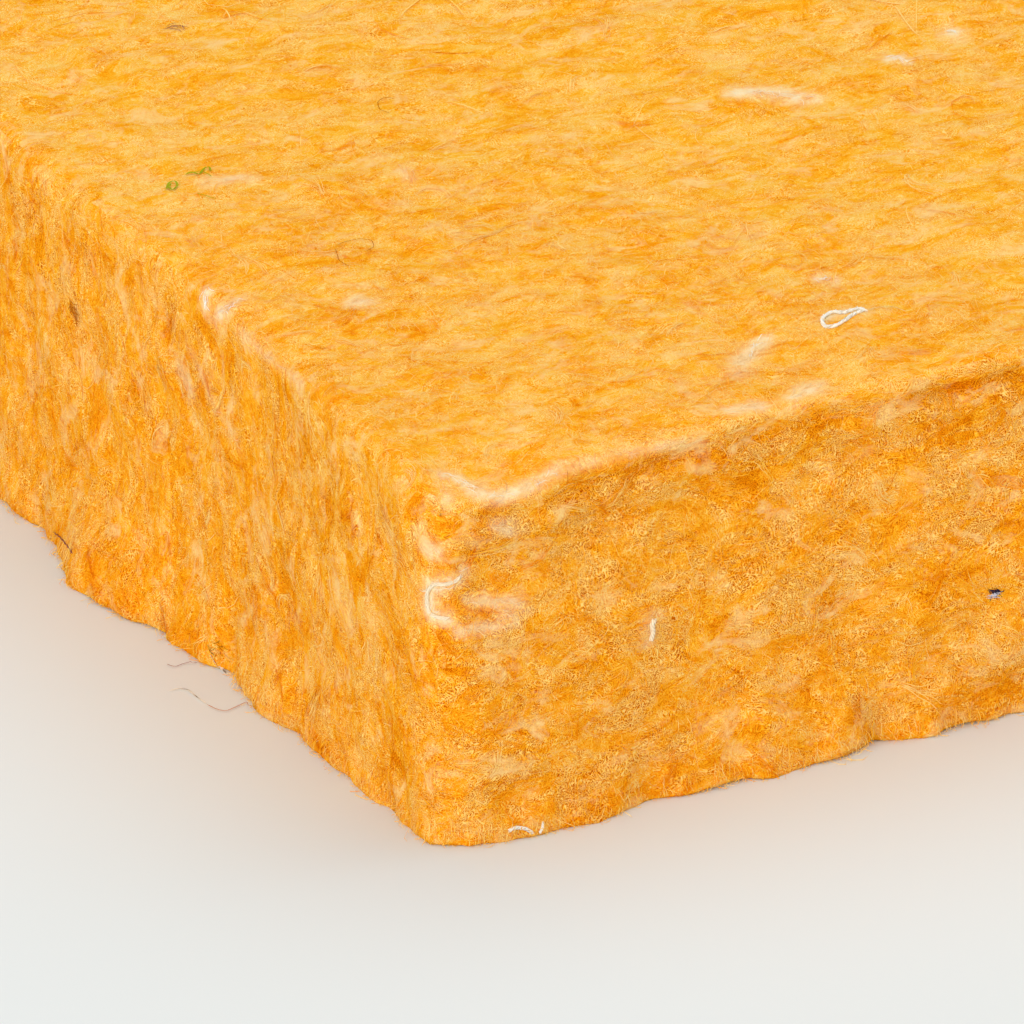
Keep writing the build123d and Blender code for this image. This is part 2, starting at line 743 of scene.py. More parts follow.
def lay_fleece(surface, name, seed, count, weight, step, radius, stations, material):
    """One piece of fleece: curled strands in swirls, which run more upright on the ends."""
    rng = np.random.default_rng(seed)
    roots = surface.scatter(rng, count, weight)
    normals = soft_normals(roots)
    swirl = 2 * pi * drifting(roots, (0.022, 0.022, 0.022), 2, 2.7)
    on_end = np.abs(normals[:, 0])
    headings = swirl * (1 - 0.5 * on_end) + rng.normal(0, 0.9, count) * (1 - 0.2 * on_end)
    steps = step * np.clip(np.exp(rng.normal(0, 0.45, count)), 0.5, 2.5)
    curls = rng.normal(0, 0.33, count)
    wiggles = rng.normal(0, 0.28, count)
    lifts = rng.exponential(MEAN_LIFT, count)
    flying = rng.random(count) < FLYING_SHARE
    lifts = np.where(flying, lifts + rng.uniform(*FLYING_LIFT, count), lifts)
    phase = rng.uniform(0, 2 * pi, count)
    paths, ups = grow_strands(
        surface, phase, roots, headings, steps, curls, wiggles, lifts, stations
    )
    radii = radius * rng.uniform(0.6, 1.35, count)
    # Each strand takes the felt's tone at its root, with its painted shade under the skin's edge
    tones = felt_tone_and_shade(roots, normals) + rng.normal(0.09, 0.14, count)
    mesh = strand_mesh(name, paths, ups, radii, tones)
    return finish_piece(name, mesh, material, smooth=False)


def near_zones(surface):
    """How far each triangle counts as near top front, near top back, near side and near end."""
    offset = surface.middles - NEAR_CORNER
    away = np.hypot(offset[:, 0], offset[:, 1])
    normals = soft_normals(surface.middles)
    top = smoothstep(normals[:, 2], 0.5, 0.8)
    side = smoothstep(-normals[:, 1], 0.4, 0.8)
    end = smoothstep(-normals[:, 0], 0.4, 0.8)
    front = top * (1 - smoothstep(away, *FRONT_REACH))
    back = top * smoothstep(away, *FRONT_REACH) * (1 - smoothstep(away, *BACK_REACH))
    side = side * (1 - smoothstep(away, *SIDE_REACH))
    end = end * (1 - smoothstep(away, *END_REACH))
    return front, back, side, end


class BATT_OT_fleece(bpy.types.Operator):
    """Lay the fleece: fine loose fibres at the near corner and wisps over the rest"""

    bl_idname = "batt.fleece"
    bl_label = "Fleece"

    def execute(self, context):
        settings = context.scene.batt_fleece
        surface = Surface()
        material = fleece_material(context)
        step, radius = settings.step, settings.radius
        names = ("top_fleece_front", "top_fleece_back", "side_fleece", "end_fleece")
        shares = (1.0, 0.70, 1.0, 1.0)
        for seed, (name, share, weight) in enumerate(zip(names, shares, near_zones(surface)), 1):
            count = round(settings.near_count * share)
            lay_fleece(
                surface, name, seed, count, weight, step, radius, FINE_STATIONS, material
            )

        # Wisps lie over the rest, few of them under the batt
        offset = surface.middles - NEAR_CORNER
        away = np.hypot(offset[:, 0], offset[:, 1])
        normals = soft_normals(surface.middles)
        far = smoothstep(away, *WISPS_START) * (0.15 + 0.85 * (normals[:, 2] > -0.5))
        count = settings.far_count
        step, radius = step * WISP_LENGTH, radius * WISP_THICKNESS
        lay_fleece(surface, "far_wisps", 9, count, far, step, radius, WISP_STATIONS, material)
        return {"FINISHED"}


# Locks and loose ends

# Points along a lock's fibre, and how much paler most locks are than the felt, or a few darker
LOCK_STATIONS = 8
PALE_LOCK = (0.10, 0.40)
DARK_LOCK = -0.10
DARK_SHARE = 0.25

# Where the fibres of the foot root, and how far they reach out over the floor
FOOT_HEIGHT = 0.0025
FOOT_BAND = 0.004
FOOT_STATIONS = 4
LEAST_REACH = 0.0005
MEAN_REACH = 0.0007
MOST_REACH = 0.0045


def lay_locks(surface, name, seed, count, weight, settings, material):
    """Drawn locks of parallel fibres: upright on the ends, lengthwise on the sides and the top."""
    rng = np.random.default_rng(seed)
    roots = surface.scatter(rng, count, weight)
    normals = soft_normals(roots)
    on_end = np.abs(normals[:, 0])
    on_side = np.abs(normals[:, 1])
    headings = on_side * pi / 2 + rng.normal(0, 0.9, count) * (1 - 0.4 * on_end)
    headings += pi * (rng.random(count) < 0.5)
    curls = rng.normal(0, 0.24, count)
    wiggles = rng.normal(0, 0.22, count)
    steps = settings.lock_length / (LOCK_STATIONS - 1) * rng.uniform(0.5, 1.3, count)
    pale = rng.uniform(*PALE_LOCK, count)
    pale[rng.random(count) < DARK_SHARE] = DARK_LOCK
    fibres = settings.lock_fibres
    each = np.repeat(np.arange(count), fibres)
    total = len(each)
    spread = rng.normal(0, settings.lock_width / 2, (total, 3))
    upward = normals[each]
    starts = roots[each] + spread - (spread * upward).sum(axis=1, keepdims=True) * upward
    paths, ups = grow_strands(
        surface,
        rng.uniform(0, 2 * pi, count)[each] + rng.normal(0, 0.3, total),
        surface.hold(starts),
        headings[each] + rng.normal(0, 0.10, total),
        steps[each] * rng.uniform(0.75, 1.15, total),
        curls[each] + rng.normal(0, 0.05, total),
        wiggles[each] + rng.normal(0, 0.08, total),
        rng.exponential(0.0003, total) + 0.0001,
        LOCK_STATIONS,
    )
    radii = settings.radius * rng.uniform(0.8, 1.5, total)
    # Each fibre takes the felt's tone at its lock's root, with its painted shade under the skin's edge
    tones = felt_tone_and_shade(roots, normals)[each] + pale[each] + rng.normal(0, 0.05, total)
    mesh = strand_mesh(name, paths, ups, radii, tones)
    return finish_piece(name, mesh, material, smooth=False)


def lay_foot_fuzz(surface, name, seed, count, settings, material):
    """Fibres that stand out from the foot of the cut sides and droop on to the floor."""
    rng = np.random.default_rng(seed)
    offset = surface.middles - NEAR_CORNER
    normals = soft_normals(surface.middles)
    away = np.hypot(offset[:, 0], offset[:, 1])
    low = hump(offset[:, 2], FOOT_HEIGHT, FOOT_BAND) * (normals[:, 2] > -0.9)
    near = 0.06 + smoothstep(-away, -0.30, -0.22)
    near *= smoothstep(-normals[:, :2].min(axis=1), 0.1, 0.3)
    roots = surface.scatter(rng, count, low * near)
    outward = soft_normals(roots)
    outward[:, 2] = 0
    outward /= np.linalg.norm(outward, axis=1, keepdims=True) + 1e-9
    sideways = np.column_stack((-outward[:, 1], outward[:, 0], np.zeros(count)))
    reach = np.minimum(rng.exponential(MEAN_REACH, count) + LEAST_REACH, MOST_REACH)
    slant = rng.normal(0, 0.9, count) * reach
    bow = rng.uniform(0.5, 0.95, count) * pi
    drop = (roots[:, 2] - LOW[2]) * rng.uniform(0.3, 1.0, count)
    paths = []
    for share in np.linspace(0, 1, FOOT_STATIONS):
        place = roots + outward * (reach * np.sin(share * bow))[:, None]
        place += sideways * (slant * share)[:, None]
        place[:, 2] -= drop * share**1.5
        place[:, 2] = np.maximum(place[:, 2], LOW[2] + FLOOR_CLEARANCE)
        paths.append(place)
    paths = np.stack(paths, axis=1)
    ups = np.repeat((outward + (0, 0, 0.7))[:, None], FOOT_STATIONS, axis=1)
    radii = settings.radius * rng.uniform(0.8, 1.4, count)
    # Painted light: the fuzz is given a paler tone than the felt, to lift it out of the shade by the foot
    tones = rng.normal(0.12, 0.14, count)
    mesh = strand_mesh(name, paths, ups, radii, tones)
    return finish_piece(name, mesh, material, smooth=False)


class BATT_OT_locks(bpy.types.Operator):
    """Draw out locks of parallel fibres at the near corner, and fray the foot"""

    bl_idname = "batt.locks"
    bl_label = "Locks and frayed foot"

    def execute(self, context):
        settings = context.scene.batt_fleece
        surface = Surface()
        material = bpy.data.materials["orange_fleece"]
        front, back, side, end = near_zones(surface)
        near = 0.8 * front + 0.4 * back + side + 1.4 * end
        lay_locks(surface, "drawn_locks", 21, settings.lock_count, near, settings, material)
        lay_foot_fuzz(surface, "foot_fuzz", 22, settings.foot_count, settings, material)
        return {"FINISHED"}


# Scraps of yarn and lint

# The dyes that the scraps were given in their first use, and a dark brown that is painted shade
WHITE = (0.99, 0.97, 0.88)
IVORY = (0.99, 0.84, 0.60)
CREAM = (0.99, 0.70, 0.34)
BLUSH = (0.99, 0.60, 0.27)
GREEN = (0.36, 0.40, 0.012)
PLUM = (0.32, 0.085, 0.090)
BROWN = (0.55, 0.15, 0.010)
# Painted shade: the dark of a notch at the foot, laid as a tuft
NOTCH_SHADE = (0.34, 0.17, 0.010)
SLATE = (0.028, 0.022, 0.050)
SILVER = (0.70, 0.68, 0.78)
AMBER = (0.99, 0.43, 0.006)

# How pale the felt and the fleece are where a tuft of lint of each dye lies in them, the pieces
# that it pales, and the share of its fibres that such a tuft, and any other, keeps on top
UNDYED = {WHITE: 1.0, IVORY: 1.0, CREAM: 0.8, BLUSH: 0.35}
BEDDED = (
    "batt_body",
    "top_fleece_front",
    "top_fleece_back",
    "side_fleece",
    "end_fleece",
    "drawn_locks",
)
BEDDED_FIBRES = 0.4
LOOSE_FIBRES = 1.2

# How far a bed pales the felt past the half width of its tuft, the length of each run of a lint
# fibre, how high the lint and the hairs lie, and how near the floor a scrap counts as lying on it
BED_MARGIN = 0.0007
LINT_STEP = (0.0003, 0.0007)
LINT_LIFT = 0.0002
HAIR_LIFT = 0.0003
ON_FLOOR = 0.0005

# Points along a scrap's line and a bed's, the length of yarn in which a fibre winds round once
# and the radius of that fibre, both as shares of the yarn's half width
LINE_POINTS = 33
BED_POINTS = 24
YARN_LAY = 9
YARN_FIBRE = 0.42

# Each scrap: its dye, its kind, its half width or radius in metres, its fibres, and the pixels
# of the 1024 by 1024 view that it passes through
SCRAPS = [
    (WHITE, "yarn", 0.00050, 12, [
        (868, 313), (860, 309), (850, 312), (842, 315), (835, 312), (827, 315), (821, 321),
        (825, 329), (834, 328), (843, 323), (851, 317), (859, 313), (866, 311),
    ]),
    (IVORY, "lint", 0.0005, 14, [(822, 322), (836, 312), (850, 313), (866, 311)]),
    (CREAM, "hair", 0.00012, 2, [(864, 312), (878, 309), (895, 308), (906, 313)]),
    (IVORY, "lint", 0.0024, 100, [(736, 92), (752, 92), (768, 93), (782, 96), (800, 98), (812, 99)]),
    (IVORY, "yarn", 0.00050, 12, [
        (463, 573), (457, 580), (446, 584), (434, 583), (428, 591), (428, 603), (430, 613),
        (439, 617), (451, 618),
    ]),
    (IVORY, "lint", 0.0011, 60, [(463, 572), (446, 584), (430, 584), (428, 603), (430, 615), (448, 618)]),
    (IVORY, "yarn", 0.00060, 10, [(654, 617), (651, 624), (652, 631), (650, 640)]),
    (CREAM, "lint", 0.0009, 16, [(654, 616), (651, 628), (650, 641)]),
    (CREAM, "lint", 0.0012, 20, [(427, 547), (432, 550), (437, 552)]),
    (WHITE, "lint", 0.0007, 30, [(207, 292), (206, 303), (209, 318)]),
    (BLUSH, "lint", 0.0016, 50, [(217, 316), (226, 309), (236, 302), (246, 299)]),
    (WHITE, "lint", 0.0009, 22, [(219, 315), (230, 308), (241, 301)]),
    (GREEN, "hair", 0.00016, 2, [
        (166, 191), (169, 184), (175, 182), (178, 187), (173, 192), (168, 189), (172, 184),
    ]),
    (GREEN, "hair", 0.00015, 2, [(184, 177), (192, 173), (199, 176), (204, 170), (209, 168), (211, 173)]),
    (GREEN, "hair", 0.00013, 1, [(190, 175), (201, 172), (212, 178)]),
    (GREEN, "hair", 0.00012, 1, [(196, 194), (205, 197), (216, 200)]),
    (CREAM, "lint", 0.0013, 34, [(207, 183), (222, 180), (236, 180), (252, 178)]),
    (IVORY, "lint", 0.0009, 44, [(440, 474), (452, 476), (463, 482), (475, 492), (488, 497)]),
    (CREAM, "lint", 0.0013, 70, [(478, 494), (494, 498), (510, 493), (528, 488), (544, 479), (558, 468)]),
    (IVORY, "lint", 0.0006, 30, [(486, 497), (510, 493), (534, 486), (556, 471)]),
    # Painted highlight: a pale streak along the skin's edge, laid as a bed of lint
    (BLUSH, "lint", 0.0010, 34, [(556, 474), (590, 462), (626, 452), (662, 446), (700, 440)]),
    (BLUSH, "lint", 0.0020, 40, [(440, 474), (444, 486), (446, 498)]),
    (CREAM, "lint", 0.0009, 26, [(495, 526), (505, 527), (515, 528)]),
    (CREAM, "lint", 0.0006, 24, [(468, 603), (486, 600), (506, 602), (520, 604)]),
    (CREAM, "lint", 0.0005, 22, [(458, 631), (476, 628), (496, 626), (506, 628)]),
    (CREAM, "lint", 0.0009, 20, [(505, 614), (511, 618)]),
    (CREAM, "lint", 0.0026, 90, [(738, 372), (744, 362), (752, 352), (757, 346)]),
    (WHITE, "lint", 0.0005, 26, [(752, 356), (754, 347), (760, 341), (768, 339), (776, 340)]),
    (CREAM, "lint", 0.0020, 44, [(792, 398), (804, 390), (816, 386)]),
    (CREAM, "lint", 0.0014, 40, [(731, 411), (745, 408), (764, 406)]),
    (WHITE, "lint", 0.0009, 14, [(815, 279), (824, 280), (833, 279)]),
    (PLUM, "yarn", 0.00022, 5, [(53, 531), (61, 537), (69, 547), (77, 559)]),
    (AMBER, "lint", 0.0011, 40, [(57, 570), (63, 567), (70, 564)]),
    # Painted shade: a dark tuft laid in the notch at the foot
    (NOTCH_SHADE, "lint", 0.0030, 14, [(211, 643), (221, 650), (232, 657)]),
    (WHITE, "hair", 0.00022, 3, [(211, 652), (216, 661), (221, 669), (227, 677)]),
    (WHITE, "hair", 0.00014, 2, [(167, 693), (176, 690), (188, 691), (197, 698), (206, 705)]),
    (BROWN, "hair", 0.00013, 1, [(204, 704), (216, 711), (226, 713), (236, 708), (246, 703), (258, 706)]),
    (PLUM, "hair", 0.00012, 1, [(165, 665), (175, 668), (188, 664), (200, 660)]),
    (WHITE, "yarn", 0.00045, 9, [(507, 830), (515, 826), (525, 827), (533, 832)]),
    (WHITE, "yarn", 0.00035, 8, [(539, 832), (542, 827), (543, 821)]),
    (BROWN, "hair", 0.00010, 1, [(396, 100), (385, 98), (378, 103), (379, 111), (391, 115)]),
    (BROWN, "hair", 0.00010, 1, [(334, 247), (345, 243), (360, 240), (372, 241), (375, 248), (364, 253)]),
    (BROWN, "hair", 0.00010, 1, [(336, 250), (338, 261), (350, 268)]),
    (PLUM, "lint", 0.0016, 9, [(170, 28), (180, 26), (190, 28)]),
    # Painted shade: a dark brown tuft laid in a pit on the end
    (BROWN, "lint", 0.0014, 26, [(72, 305), (76, 313), (78, 322)]),
    (WHITE, "lint", 0.0016, 20, [(949, 32), (955, 33)]),
    (WHITE, "lint", 0.0012, 24, [(885, 58), (896, 58), (906, 62)]),
    (CREAM, "lint", 0.0016, 24, [(352, 303), (360, 300), (368, 301)]),
    (BLUSH, "lint", 0.0014, 22, [(400, 166), (407, 173), (412, 181)]),
    (BLUSH, "lint", 0.0007, 24, [(238, 330), (262, 352), (284, 370), (302, 384)]),
    (BLUSH, "lint", 0.0007, 26, [(186, 343), (201, 372), (212, 400), (240, 446)]),
    (BLUSH, "lint", 0.0016, 34, [(180, 368), (186, 380), (192, 392)]),
    (SLATE, "lint", 0.0006, 18, [(992, 590), (996, 591), (999, 595)]),
    (SILVER, "lint", 0.0004, 16, [(993, 594), (998, 592)]),
]


def seen_places(surface, stage, pixels):
    """Where the slab, or the floor beside it, shows at each pixel of the view."""
    toward, right, up = (np.array(axis) for axis in view_axes(stage.view_turn, stage.view_height))
    pixel = stage.view_field / VIEW_SIZE
    middle = view_middle(stage, NEAR_CORNER, right, up)
    eye = middle + toward * stage.view_distance
    places = []
    for column, row in pixels:
        target = middle + right * (column - VIEW_SIZE / 2) * pixel
        target += up * (VIEW_SIZE / 2 - row) * pixel
        ray = (target - eye) / np.linalg.norm(target - eye)
        hit = surface.tree.ray_cast(Vector(eye), Vector(ray))[0]
        if hit is None:
            hit = eye + ray * (LOW[2] - eye[2]) / ray[2]
        places.append(hit)
    return np.array(places)


def smooth_line(points, count):
    """A polyline drawn through the points, evenly spaced and rounded off."""
    lengths = np.concatenate(([0], np.cumsum(np.linalg.norm(np.diff(points, axis=0), axis=1))))
    even = np.linspace(0, lengths[-1], count)
    line = np.column_stack([np.interp(even, lengths, axis) for axis in points.T])
    for _ in range(max(1, count // (2 * len(points)))):
        line[1:-1] = 0.25 * line[:-2] + 0.5 * line[1:-1] + 0.25 * line[2:]
    return line


def read_along(share, *rows):
    """Rows of places or directions, each read at shares of the way along it."""
    marks = np.linspace(0, 1, len(rows[0]))
    return [np.column_stack([np.interp(share, marks, axis) for axis in row.T]) for row in rows]


def lint_strands(surface, rng, line, width, fibres, stations):
    """Short curly fibres strewn in a tuft along its line, thickest in the middle."""
    centre = smooth_line(line, LINE_POINTS)
    share = np.clip(rng.normal(0.5, 0.27, fibres), 0, 1)
    ahead = np.gradient(centre, axis=0)
    ahead /= np.linalg.norm(ahead, axis=1, keepdims=True) + 1e-12
    across = np.cross(ahead, soft_normals(centre))
    place, along, beside = read_along(share, centre, ahead, across)
    taper = np.sqrt(np.clip(1 - (2 * share - 1) ** 2, 0.1, 1))
    steps = rng.uniform(*LINT_STEP, fibres)
    place = place + beside * (rng.normal(0, 0.5, fibres) * width * taper)[:, None]
    place = place - along * (steps * stations / 2)[:, None]
    place = surface.hold(place)
    forward, side = surface_frame(soft_normals(place))
    headings = np.arctan2((along * side).sum(axis=1), (along * forward).sum(axis=1))
    headings += rng.normal(0, 0.25, fibres)
    return grow_strands(
        surface,
        rng.uniform(0, 2 * pi, fibres),
        place,
        headings,
        steps,
        rng.normal(0, 0.16, fibres),
        rng.normal(0, 0.20, fibres),
        rng.exponential(LINT_LIFT, fibres) + LINT_LIFT,
        stations,
    )


def scrap_strands(surface, rng, line, kind, width, fibres, stations):
    """The fibres of one scrap: wound round its line as a yarn, strewn as lint, or loose hairs."""
    if kind == "lint":
        return lint_strands(surface, rng, line, width, fibres, stations)
    centre = smooth_line(line, LINE_POINTS)
    normal = soft_normals(centre)
    normal[centre[:, 2] < LOW[2] + ON_FLOOR] = (0, 0, 1)
    ahead = np.gradient(centre, axis=0)
    across = np.cross(ahead, normal)
    across /= np.linalg.norm(across, axis=1, keepdims=True) + 1e-12
    length = np.linalg.norm(ahead, axis=1).sum()
    paths, ups = [], []
    for fibre in range(fibres):
        span = rng.uniform(0.93, 1.0)
        share = rng.uniform(0, 1 - span) + span * np.linspace(0, 1, stations)
        path, up, beside = read_along(share, centre, normal, across)
        if kind == "yarn":
            turn = 2 * pi * (fibre / fibres + length / (YARN_LAY * width) * share)
            bulk = width * (0.75 + 0.25 * (fibre % 2))
            spoke = beside * np.cos(turn)[:, None] + up * np.sin(turn)[:, None]
            path = path + (spoke + 0.9 * up) * bulk
            up = spoke
        else:
            sway = 1.2 * width * np.sin(rng.uniform(0, 2 * pi) + 9 * share)
            path = path + beside * sway[:, None] + up * (HAIR_LIFT + width)
        path[:, 2] = np.maximum(path[:, 2], LOW[2] + FLOOR_CLEARANCE)
        paths.append(path)
        ups.append(up)
    return np.array(paths), np.array(ups)


def undyed_share(mesh, beds):
    """How little dye each vertex shows, from the beds of undyed lint that it lies in or near."""
    places = np.empty(len(mesh.vertices) * 3, np.float32)
    mesh.vertices.foreach_get("co", places)
    places = places.reshape(-1, 3).astype(float)
    share = np.zeros(len(places))
    for line, width, strength in beds:
        reach = 0.9 * width + BED_MARGIN
        low, high = line.min(axis=0) - 2 * reach, line.max(axis=0) + 2 * reach
        close = np.where(((places > low) & (places < high)).all(axis=1))[0]
        if len(close):
            away = np.linalg.norm(places[close, None] - line[None], axis=2).min(axis=1)
            share[close] = np.maximum(share[close], strength * hump(away, 0, reach))
    return share


class BATT_OT_scraps(bpy.types.Operator):
    """Strew the scraps that the recycled fibre brings: yarn ends, lint, threads and hairs, with two dark
    tufts of painted shade and a pale streak of painted highlight
    """

    bl_idname = "batt.scraps"
    bl_label = "Scraps of yarn and lint"

    def execute(self, context):
        settings = context.scene.batt_fleece
        stage = context.scene.batt_stage
        surface = Surface()
        material = scrap_material()
        rng = np.random.default_rng(31)
        kinds = {
            "yarn": ("yarn_scraps", 20),
            "lint": ("lint_scraps", 7),
            "hair": ("loose_hairs", 18),
        }
        beds = []
        for kind, (name, stations) in kinds.items():
            paths, ups, radii, colours = [], [], [], []
            for dye, sort, width, fibres, pixels in SCRAPS:
                if sort != kind:
                    continue
                line = seen_places(surface, stage, pixels)
                if kind == "lint" and dye in UNDYED:
                    beds.append((smooth_line(line, BED_POINTS), width, UNDYED[dye]))
                    fibres = max(3, round(BEDDED_FIBRES * fibres))
                elif kind == "lint":
                    fibres = round(LOOSE_FIBRES * fibres)
                path, up = scrap_strands(surface, rng, line, kind, width, fibres, stations)
                paths.append(path)
                ups.append(up)
                thin = settings.radius * rng.uniform(0.9, 1.5, fibres)
                radius = {"yarn": width * YARN_FIBRE, "lint": thin, "hair": width}[kind]
                radii.append(np.zeros(fibres) + radius)
                colours.append(np.array(dye) * rng.uniform(0.94, 1.0, (fibres, 1)))
            mesh = strand_mesh(
                name,
                np.concatenate(paths),
                np.concatenate(ups),
                np.concatenate(radii),
                np.concatenate(colours),
            )
            finish_piece(name, mesh, material, smooth=False)
        for name in BEDDED:
            mesh = bpy.data.objects[name].data
            store(mesh, "undyed", undyed_share(mesh, beds))
        return {"FINISHED"}


# Materials

# How closely the patterns lie along X, Y and Z on the top, the ends and the long sides, and
# from what share of a normal a surface counts as an end or a side
TOP_GRAIN = (0.8, 1.2, 1.0)
END_GRAIN = (1.0, 1.1, 0.75)
SIDE_GRAIN = (0.7, 1.0, 1.1)
FACES_ASIDE = 0.62

# How far the hair lines bend, in metres, the scale of each layer of them as a share of the
# group's, and how far apart and how wide they are, as shares of the range of their noise
HAIR_BEND = 0.0045
HAIR_LAYERS = (0.62, 0.95, 1.45)
HAIR_FOLD = 0.07
HAIR_WIDTH = 0.030


def add_node(tree, kind, place, inputs=None, **settings):
    """A node at a place in the tree, with its settings, and its inputs set or linked."""
    node = tree.nodes.new(kind)
    node.location = place
    for key, value in settings.items():
        setattr(node, key, value)
    for name, value in (inputs or {}).items():
        if isinstance(value, bpy.types.NodeSocket):
            tree.links.new(value, node.inputs[name])
        else:
            node.inputs[name].default_value = value
    return node


def maths(tree, place, operation, *values):
    """The result of a Math node, its values set or linked."""
    inputs = dict(enumerate(values))
    return add_node(tree, "ShaderNodeMath", place, inputs, operation=operation).outputs[0]


def vector_maths(tree, place, operation, *values):
    """The result of a Vector Math node, its values set or linked."""
    inputs = dict(enumerate(values))
    return add_node(tree, "ShaderNodeVectorMath", place, inputs, operation=operation).outputs[0]


def noise_lumps(tree, place, vector, scale, detail=0.0, roughness=0.5, distortion=0.0):
    """A Noise Texture node, with as many lumps to the metre as its scale says."""
    inputs = {
        "Vector": vector,
        "Scale": scale,
        "Detail": detail,
        "Roughness": roughness,
        "Distortion": distortion,
    }
    return add_node(tree, "ShaderNodeTexNoise", place, inputs)


def remap(tree, place, value, span, target):
    """The value with its span stretched over the target, and held within it."""
    inputs = {
        "Value": value,
        "From Min": span[0],
        "From Max": span[1],
        "To Min": target[0],
        "To Max": target[1],
    }
    return add_node(tree, "ShaderNodeMapRange", place, inputs).outputs["Result"]


def mix_in(tree, place, share, colour, dye):
    """The colour with a share of the dye mixed in."""
    inputs = {0: share, 6: colour, 7: (*dye, 1)}
    return add_node(tree, "ShaderNodeMix", place, inputs, data_type="RGBA").outputs[2]


def new_group(name, inputs, outputs):
    """A shader node group with the named sockets, and its two end nodes."""
    tree = bpy.data.node_groups.new(name, "ShaderNodeTree")
    for label, kind, default in inputs:
        socket = tree.interface.new_socket(label, in_out="INPUT", socket_type=kind)
        if default is not None:
            socket.default_value = default
    for label, kind in outputs:
        tree.interface.new_socket(label, in_out="OUTPUT", socket_type=kind)
    return tree, tree.nodes.new("NodeGroupInput"), tree.nodes.new("NodeGroupOutput")


def uneven_dye_group(context):
    """Dye that took unevenly, with pale patches, and painted shade in the gaps between the hairs, darkest
    in those patches.
    """
    found = bpy.data.node_groups.get("Uneven dye")
    if found:
        return found
    dyes = context.scene.batt_fleece
    tree, start, end = new_group(
        "Uneven dye",
        [
            ("Vector", "NodeSocketVector", None),
            ("Normal", "NodeSocketVector", None),
            ("Shift", "NodeSocketFloat", 0.0),
            ("Hairs", "NodeSocketFloat", 1.0),
            ("Gap_shade_depth", "NodeSocketFloat", 0.0),
            ("Undyed", "NodeSocketFloat", 0.0),
        ],
        [("Color", "NodeSocketColor")],
    )

    # The fibre is drawn out another way on the top, on the ends and on the long sides
    facing = vector_maths(tree, (-2100, 0), "ABSOLUTE", start.outputs["Normal"])
    parts = add_node(tree, "ShaderNodeSeparateXYZ", (-1950, 0), {"Vector": facing})
    grain = TOP_GRAIN
    for axis, drawn_out in (("X", END_GRAIN), ("Y", SIDE_GRAIN)):
        turned = maths(tree, (-1800, 0), "GREATER_THAN", parts.outputs[axis], FACES_ASIDE)
        sockets = {0: turned, 4: grain, 5: drawn_out}
        chosen = add_node(tree, "ShaderNodeMix", (-1650, 0), sockets, data_type="VECTOR")
        grain = chosen.outputs[1]
    drawn = vector_maths(tree, (-1500, 0), "MULTIPLY", start.outputs["Vector"], grain)

    # The painted shade in the gaps between the hairs is deepest in the pale patches
    patch = noise_lumps(tree, (-1300, -200), drawn, 64.0, 5.0, 0.86, 1.3)
    pale = remap(tree, (-1100, -200), patch.outputs["Fac"], (0.45, 0.60), (0.0, 1.0))
    deeper = maths(tree, (-900, -100), "ADD", pale, 0.6)
    depth = maths(tree, (-750, -100), "MULTIPLY", deeper, start.outputs["Gap_shade_depth"])
    centred = maths(tree, (-900, 0), "SUBTRACT", start.outputs["Hairs"], 0.45)
    lifted = maths(tree, (-600, 0), "MULTIPLY_ADD", centred, depth, start.outputs["Shift"])

    # Clumps run from the painted shade of the gaps, through the dyes, to cream
    clump = noise_lumps(tree, (-900, 200), drawn, 88.0, 6.0, 0.86, 1.0)
    clumped = maths(tree, (-600, 200), "MULTIPLY_ADD", clump.outputs["Fac"], 1.5, -0.19)
    patched = maths(tree, (-600, 350), "MULTIPLY_ADD", pale, 0.10, clumped)
    toned = maths(tree, (-450, 100), "ADD", patched, lifted)
    ramp = add_node(tree, "ShaderNodeValToRGB", (-300, 100), {"Fac": toned})
    colours = ramp.color_ramp.elements
    colours[0].position = 0.05
    colours[0].color = (*dyes.gap, 1)
    colours[1].position = 0.90
    colours[1].color = (*dyes.cream, 1)
    colours.new(0.22).color = (*dyes.rust, 1)
    colours.new(0.38).color = (*dyes.deep, 1)
    colours.new(0.54).color = (*dyes.orange, 1)
    colours.new(0.71).color = (*dyes.apricot, 1)

    # Lint lies all through it, and round each tuft of lint the fibre took no dye
    lint = noise_lumps(tree, (-500, 500), drawn, 100.0, 5.0, 0.74, 0.8)
    linted = remap(tree, (-300, 500), lint.outputs["Fac"], (0.53, 0.69), (0.0, 0.85))
    mixed = mix_in(tree, (0, 200), linted, ramp.outputs["Color"], dyes.lint)
    bedded = remap(tree, (0, 500), lint.outputs["Fac"], (0.38, 0.56), (0.45, 1.2))
    bare = maths(tree, (200, 400), "MULTIPLY", bedded, start.outputs["Undyed"])
    whitened = mix_in(tree, (400, 200), bare, mixed, dyes.undyed)
    tree.links.new(whitened, end.inputs["Color"])
    return tree


